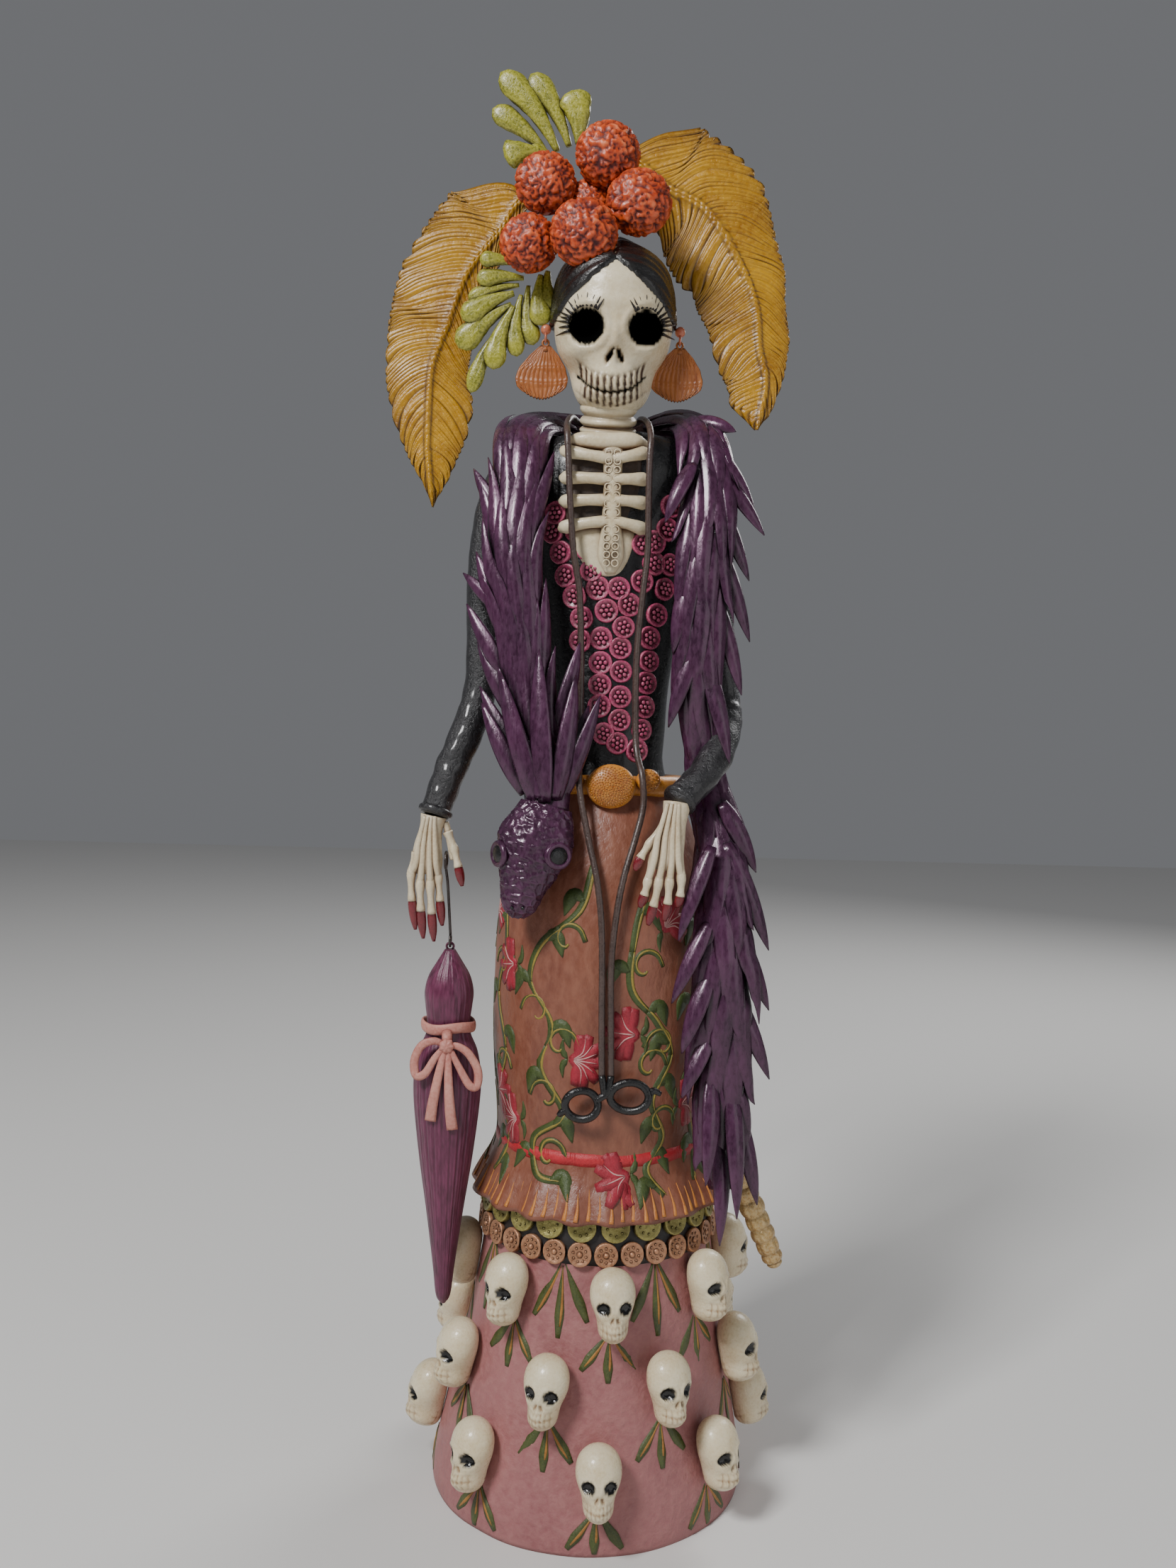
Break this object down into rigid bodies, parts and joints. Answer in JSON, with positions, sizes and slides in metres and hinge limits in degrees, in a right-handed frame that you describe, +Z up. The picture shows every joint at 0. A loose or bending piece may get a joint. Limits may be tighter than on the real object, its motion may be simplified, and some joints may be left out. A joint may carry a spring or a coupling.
{
  "type": "catrina figure",
  "caption": "Standing papier-mache catrina figure: bell skirt set with skulls, feathered boa, plumed flower headdress, hanging earrings and a closed umbrella that swings on its wire.",
  "frame": {"origin": "centre of the wooden base disc's underside, where the figure stands", "axes": "+Z up; the figure faces -Y; +X is the viewer's right when facing it"},
  "size_m": [0.177, 0.157, 0.5965],
  "materials": {
    "pine": "bare, sanded",
    "steel": "plain wire",
    "rose_paint": "painted papier-mache, satin",
    "clay_paint": "painted papier-mache, satin",
    "old_gold": "painted, dry-brushed gold",
    "bone": "painted papier-mache, antiqued and varnished",
    "black_paint": "painted papier-mache, gloss varnish",
    "coral": "painted, dry-brushed",
    "olive": "painted, gold-brushed",
    "ochre": "painted, semi-gloss varnish",
    "copper_paint": "painted, metallic brushed",
    "cord_brown": "painted cord, satin",
    "amber": "painted, stippled",
    "aubergine": "painted, pearl sheen",
    "wine": "painted, satin",
    "salmon": "painted, matt",
    "cob_gold": "painted gold over cream"
  },
  "bodies": {
    "figure": {"armature_rod": "steel", "base_disc": "pine", "lower_skirt": "rose_paint", "medallion_girdle": "old_gold", "overskirt": "clay_paint", "ribs_and_neck": "bone", "bodice": "black_paint", "head": "bone", "hair": "black_paint", "belt": "amber", "sleeve_left": "black_paint", "sleeve_right": "black_paint", "hand_left": "bone", "hand_right": "bone", "earring_stud_left": "copper_paint", "earring_stud_right": "copper_paint", "flower_1": "coral", "flower_2": "coral", "flower_3": "coral", "flower_4": "coral", "flower_5": "coral", "leaf_spray_top": "olive", "leaf_spray_side": "olive", "feather_left": "ochre", "feather_right": "ochre", "neck_cord": "cord_brown", "spectacles": "black_paint", "boa_left": "aubergine", "boa_right": "aubergine", "serpent_head": "aubergine", "serpent_rattle": "cob_gold", "skull_top_1": "bone", "skull_top_2": "bone", "skull_top_3": "bone", "skull_top_4": "bone", "skull_top_5": "bone", "skull_top_6": "bone", "skull_top_7": "bone", "skull_top_8": "bone", "skull_middle_1": "bone", "skull_middle_2": "bone", "skull_middle_3": "bone", "skull_middle_4": "bone", "skull_middle_5": "bone", "skull_middle_6": "bone", "skull_middle_7": "bone", "skull_middle_8": "bone", "skull_bottom_1": "bone", "skull_bottom_2": "bone", "skull_bottom_3": "bone", "skull_bottom_4": "bone", "skull_bottom_5": "bone", "skull_bottom_6": "bone", "skull_bottom_7": "bone", "skull_bottom_8": "bone"},
    "wire": {"umbrella_wire": "steel"},
    "umbrella": {"umbrella_canopy": "wine", "umbrella_bow": "salmon"},
    "earring_left": {"earring_drop_left": "copper_paint"},
    "earring_right": {"earring_drop_right": "copper_paint"}
  },
  "joints": [
    {"name": "umbrella_fore_aft", "type": "hinge", "parent": "figure", "child": "wire", "pos_m": [-0.0638, -0.024, 0.2651], "axis": [1, 0, 0], "range_deg": [-16, 1]},
    {"name": "umbrella_side", "type": "hinge", "parent": "wire", "child": "umbrella", "pos_m": [-0.0614, -0.024, 0.2296], "axis": [0, 1, 0], "range_deg": [-1, 15]},
    {"name": "earring_left_swing", "type": "hinge", "parent": "figure", "child": "earring_left", "pos_m": [-0.0283, -0.009, 0.4815], "axis": [0, 1, 0], "range_deg": [-1, 12]},
    {"name": "earring_right_swing", "type": "hinge", "parent": "figure", "child": "earring_right", "pos_m": [0.0278, -0.009, 0.4817], "axis": [0, 1, 0], "range_deg": [-12, 1]}
  ]
}
